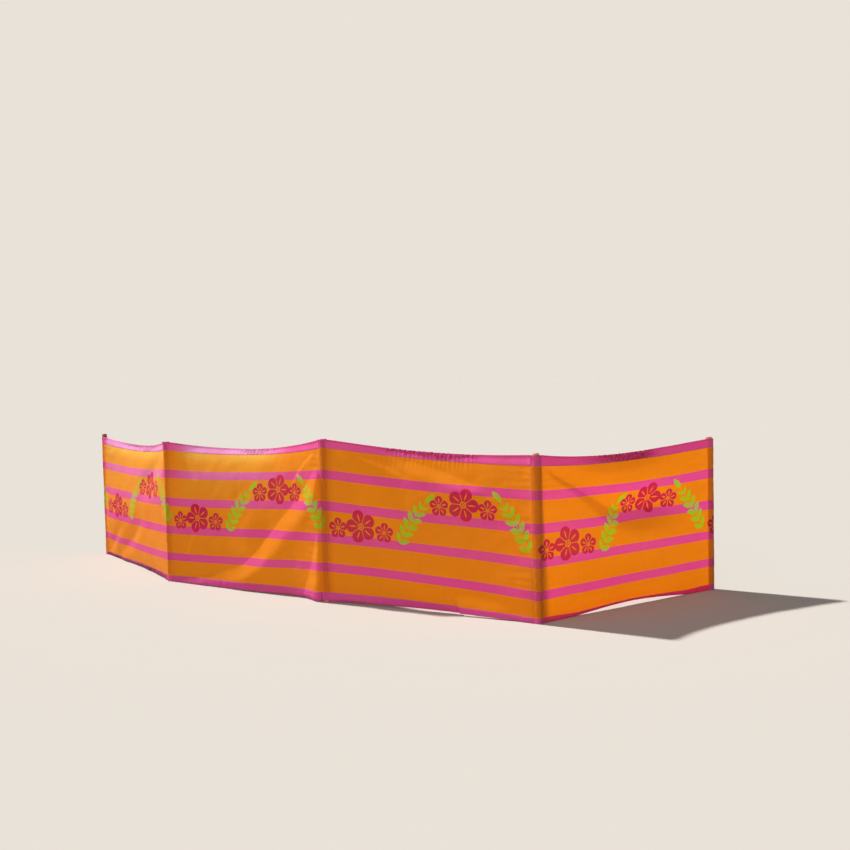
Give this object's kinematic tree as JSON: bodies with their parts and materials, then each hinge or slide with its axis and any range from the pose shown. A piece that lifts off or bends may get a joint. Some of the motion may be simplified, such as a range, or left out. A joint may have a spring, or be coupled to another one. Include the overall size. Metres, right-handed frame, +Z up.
{
  "type": "beach windbreak",
  "caption": "Long low striped cloth screen on round wooden poles in sewn pockets, planted upright in a bent line to keep wind off.",
  "frame": {"origin": "middle of the middle pole's foot, at ground level", "axes": "+Z up, +X along the row of poles from the first to the last, +Y to the far side, where the row's far left end reaches"},
  "size_m": [3.9533, 2.3348, 0.908],
  "materials": {
    "pole_wood": "satin",
    "cloth": "matte",
    "hem": "matte"
  },
  "bodies": {
    "root": {"pole_1": "pole_wood", "pocket_1": "cloth", "pole_2": "pole_wood", "pocket_2": "cloth", "pole_3": "pole_wood", "pocket_3": "cloth", "pole_4": "pole_wood", "pocket_4": "cloth", "pole_5": "pole_wood", "pocket_5": "cloth", "top_hem_1": "hem", "panel_1": "cloth", "foot_hem_1": "hem", "top_hem_2": "hem", "panel_2": "cloth", "foot_hem_2": "hem", "top_hem_3": "hem", "panel_3": "cloth", "foot_hem_3": "hem", "top_hem_4": "hem", "panel_4": "cloth", "foot_hem_4": "hem", "tape_end": "hem"}
  },
  "joints": []
}
